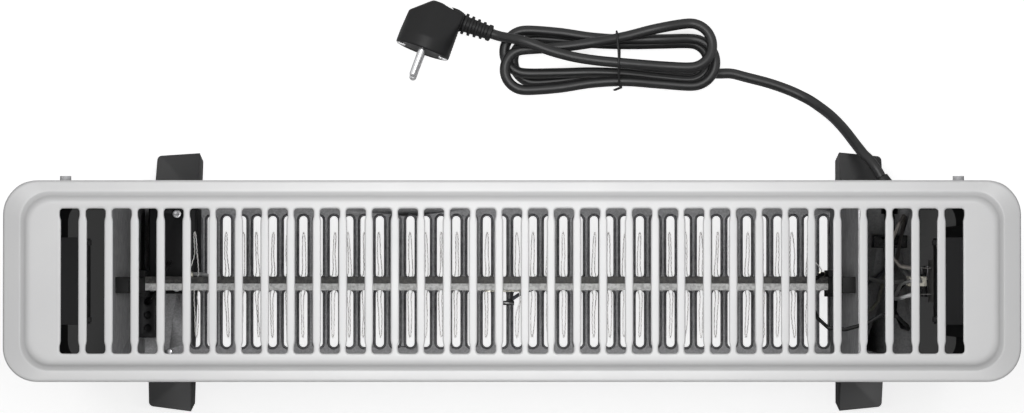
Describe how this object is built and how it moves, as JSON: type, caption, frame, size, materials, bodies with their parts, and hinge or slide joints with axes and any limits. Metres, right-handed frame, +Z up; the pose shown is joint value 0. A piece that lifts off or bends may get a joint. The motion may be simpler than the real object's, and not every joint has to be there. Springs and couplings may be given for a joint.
{
  "type": "convector heater",
  "caption": "Free-standing convector heater: slim upright steel case with a slotted top grille, end caps with carrying recesses, side controls, feet and a tied mains cord with plug.",
  "frame": {"origin": "middle of the base, on the floor, under the middle of the case", "axes": "+X to the end with the controls, along the case; +Y to the rear, where the cord leaves; +Z up"},
  "size_m": [0.588, 0.272, 0.4],
  "materials": {
    "white_enamel": "satin",
    "grey_coating": "satin",
    "bare_steel": "galvanised",
    "black_plastic": "moulded, fine grain",
    "black_gloss_plastic": "polished",
    "black_cord": "satin",
    "dark_board": "dull",
    "light_board": "dull",
    "brass_terminals": "bare",
    "resistance_wire": "oxidised",
    "plated_pins": "nickel plated",
    "red_lens": "clear moulded",
    "grey_lead": "satin",
    "brown_lead": "satin",
    "blue_lead": "satin",
    "green_lead": "satin",
    "spacer_plastic": "moulded"
  },
  "bodies": {
    "heater": {"top_cover": "white_enamel", "front_panel": "white_enamel", "rear_panel": "white_enamel", "bottom_plate": "grey_coating", "left_end_cap": "black_plastic", "right_end_cap": "black_plastic", "left_foot": "black_plastic", "right_foot": "black_plastic", "foot_screws": "bare_steel", "rear_screws": "bare_steel", "bottom_screws": "bare_steel", "plate_screws": "bare_steel", "wall_spacers": "spacer_plastic", "left_heat_shield": "bare_steel", "right_heat_shield": "bare_steel", "element_board": "dark_board", "element_strip": "light_board", "left_heating_wire": "resistance_wire", "right_heating_wire": "resistance_wire", "element_holders": "dark_board", "element_terminals": "brass_terminals", "thermal_cutout": "black_gloss_plastic", "tilt_switch": "black_plastic", "tilt_switch_screws": "bare_steel", "terminal_block": "black_plastic", "thermostat": "dark_board", "thermostat_nut": "bare_steel", "upper_switch_housing": "black_gloss_plastic", "lower_switch_housing": "black_gloss_plastic", "switch_terminals": "brass_terminals", "pilot_lamp": "red_lens", "cord_bushing": "black_plastic", "cord_clamp": "black_plastic", "clamp_screws": "bare_steel", "cord_inside": "black_cord", "live_wire": "brown_lead", "neutral_wire": "blue_lead", "earth_wire": "green_lead", "earth_tag": "brass_terminals", "switch_wire": "grey_lead", "switch_link": "grey_lead", "element_lead_right": "black_cord", "element_lead_left": "grey_lead", "tilt_lead": "black_cord", "cord_run": "black_cord", "cord_hank": "black_cord", "cord_tie": "black_cord", "cord_tail": "black_cord", "plug_body": "black_plastic", "plug_pins": "plated_pins", "plug_earth_clips": "plated_pins"},
    "thermostat_knob": {"thermostat_knob": "black_plastic", "thermostat_spindle": "bare_steel"},
    "upper_rocker": {"upper_rocker": "black_gloss_plastic"},
    "lower_rocker": {"lower_rocker": "black_gloss_plastic"}
  },
  "joints": [
    {"name": "thermostat_turn", "type": "hinge", "parent": "heater", "child": "thermostat_knob", "pos_m": [0.278, 0, 0.248], "axis": [-1, 0, 0], "range_deg": [0, 270]},
    {"name": "upper_rocker_tilt", "type": "hinge", "parent": "heater", "child": "upper_rocker", "pos_m": [0.2755, 0, 0.182], "axis": [0, -1, 0], "range_deg": [0, 22]},
    {"name": "lower_rocker_tilt", "type": "hinge", "parent": "heater", "child": "lower_rocker", "pos_m": [0.2755, 0, 0.14], "axis": [0, -1, 0], "range_deg": [0, 22]}
  ]
}
